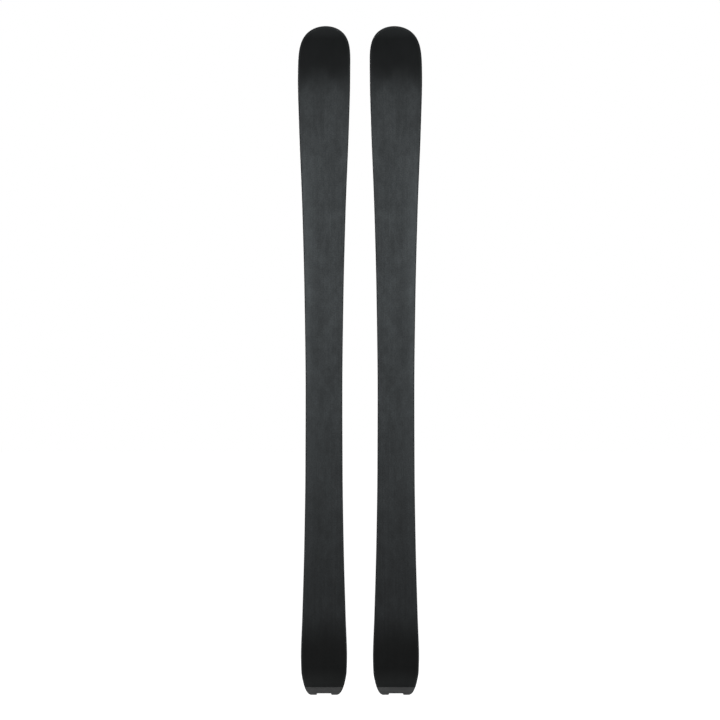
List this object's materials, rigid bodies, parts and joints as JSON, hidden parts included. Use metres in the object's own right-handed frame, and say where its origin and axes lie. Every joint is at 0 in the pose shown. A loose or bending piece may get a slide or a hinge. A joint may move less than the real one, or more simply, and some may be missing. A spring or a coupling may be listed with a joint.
{
  "type": "alpine skis with touring bindings",
  "caption": "Pair of skis standing tails down, bases outward, with pin touring bindings behind: jaws, lever, turning heel and climbing aid.",
  "frame": {"origin": "centre of the pair's footprint, at the height of the tail ends", "axes": "+Z from the tails to the tips, -Y the way the running bases face, +Y the way the bindings face, +X from the left ski to the right one as seen from the base side"},
  "size_m": [0.3162, 0.0702, 1.702],
  "materials": {
    "base_polyethylene": "sintered black base with a stone-ground grain",
    "edge_steel": "ground",
    "glass_laminate": "resin and glass cloth",
    "wood_core": "sanded",
    "sidewall_plastic": "planed",
    "top_sheet": "satin with a faint weave",
    "protector_alloy": "dark, brushed",
    "binding_plate": "black anodised",
    "binding_alloy": "bead blasted",
    "hardened_steel": "turned",
    "screw_steel": "zinc plated",
    "binding_plastic": "glass-filled nylon"
  },
  "bodies": {
    "left_ski": {"left_sole": "base_polyethylene", "left_steel_edge": "edge_steel", "left_lower_laminate": "glass_laminate", "left_core": "wood_core", "left_sidewall": "sidewall_plastic", "left_upper_laminate": "glass_laminate", "left_top_sheet": "top_sheet", "left_tail_protector": "protector_alloy", "left_toe_base": "binding_plate", "left_toe_axle_outer": "hardened_steel", "left_toe_axle_inner": "hardened_steel", "left_heel_base": "binding_plate", "left_heel_spindle": "hardened_steel", "left_toe_screw_1": "screw_steel", "left_toe_screw_2": "screw_steel", "left_toe_screw_3": "screw_steel", "left_toe_screw_4": "screw_steel", "left_heel_screw_1": "screw_steel", "left_heel_screw_2": "screw_steel", "left_heel_screw_3": "screw_steel", "left_heel_screw_4": "screw_steel"},
    "left_outer_jaw": {"left_toe_jaw_outer": "binding_alloy", "left_toe_pin_outer": "hardened_steel"},
    "left_inner_jaw": {"left_toe_jaw_inner": "binding_alloy", "left_toe_pin_inner": "hardened_steel"},
    "left_lever": {"left_toe_lever": "binding_plastic"},
    "left_heel": {"left_heel_turret": "binding_plastic", "left_heel_fork": "hardened_steel", "left_heel_adjuster": "binding_alloy"},
    "left_riser": {"left_heel_riser": "binding_alloy"},
    "right_ski": {"right_sole": "base_polyethylene", "right_steel_edge": "edge_steel", "right_lower_laminate": "glass_laminate", "right_core": "wood_core", "right_sidewall": "sidewall_plastic", "right_upper_laminate": "glass_laminate", "right_top_sheet": "top_sheet", "right_tail_protector": "protector_alloy", "right_toe_base": "binding_plate", "right_toe_axle_outer": "hardened_steel", "right_toe_axle_inner": "hardened_steel", "right_heel_base": "binding_plate", "right_heel_spindle": "hardened_steel", "right_toe_screw_1": "screw_steel", "right_toe_screw_2": "screw_steel", "right_toe_screw_3": "screw_steel", "right_toe_screw_4": "screw_steel", "right_heel_screw_1": "screw_steel", "right_heel_screw_2": "screw_steel", "right_heel_screw_3": "screw_steel", "right_heel_screw_4": "screw_steel"},
    "right_outer_jaw": {"right_toe_jaw_outer": "binding_alloy", "right_toe_pin_outer": "hardened_steel"},
    "right_inner_jaw": {"right_toe_jaw_inner": "binding_alloy", "right_toe_pin_inner": "hardened_steel"},
    "right_lever": {"right_toe_lever": "binding_plastic"},
    "right_heel": {"right_heel_turret": "binding_plastic", "right_heel_fork": "hardened_steel", "right_heel_adjuster": "binding_alloy"},
    "right_riser": {"right_heel_riser": "binding_alloy"}
  },
  "joints": [
    {"name": "skis_apart", "type": "slide", "parent": "left_ski", "child": "right_ski", "axis": [1, 0, 0], "range_m": [0, 0.3]},
    {"name": "left_lever_press", "type": "hinge", "parent": "left_ski", "child": "left_lever", "pos_m": [-0.0915, -0.00985, 0.937], "axis": [1, 0, 0], "range_deg": [0, 13]},
    {"name": "left_outer_jaw_open", "type": "hinge", "parent": "left_ski", "child": "left_outer_jaw", "pos_m": [-0.1035, -0.00835, 0.905], "axis": [0, 0, 1], "range_deg": [0, 16]},
    {"name": "left_inner_jaw_open", "type": "hinge", "parent": "left_ski", "child": "left_inner_jaw", "pos_m": [-0.0795, -0.00835, 0.905], "axis": [0, 0, -1], "range_deg": [0, 16]},
    {"name": "left_heel_turn", "type": "hinge", "parent": "left_ski", "child": "left_heel", "pos_m": [-0.0915, 0.00015, 0.595], "axis": [0, 1, 0], "continuous": true},
    {"name": "left_riser_flip", "type": "hinge", "parent": "left_heel", "child": "left_riser", "pos_m": [-0.0915, 0.03065, 0.607], "axis": [1, 0, 0], "range_deg": [0, 180]},
    {"name": "right_lever_press", "type": "hinge", "parent": "right_ski", "child": "right_lever", "pos_m": [0.0915, -0.00985, 0.937], "axis": [1, 0, 0], "range_deg": [0, 13]},
    {"name": "right_outer_jaw_open", "type": "hinge", "parent": "right_ski", "child": "right_outer_jaw", "pos_m": [0.1035, -0.00835, 0.905], "axis": [0, 0, -1], "range_deg": [0, 16]},
    {"name": "right_inner_jaw_open", "type": "hinge", "parent": "right_ski", "child": "right_inner_jaw", "pos_m": [0.0795, -0.00835, 0.905], "axis": [0, 0, 1], "range_deg": [0, 16]},
    {"name": "right_heel_turn", "type": "hinge", "parent": "right_ski", "child": "right_heel", "pos_m": [0.0915, 0.00015, 0.595], "axis": [0, 1, 0], "continuous": true},
    {"name": "right_riser_flip", "type": "hinge", "parent": "right_heel", "child": "right_riser", "pos_m": [0.0915, 0.03065, 0.607], "axis": [1, 0, 0], "range_deg": [0, 180]}
  ],
  "couplings": [
    {"joint": "left_outer_jaw_open", "follows": "left_lever_press", "ratio": 1.2},
    {"joint": "left_inner_jaw_open", "follows": "left_lever_press", "ratio": 1.2},
    {"joint": "right_outer_jaw_open", "follows": "right_lever_press", "ratio": 1.2},
    {"joint": "right_inner_jaw_open", "follows": "right_lever_press", "ratio": 1.2}
  ]
}
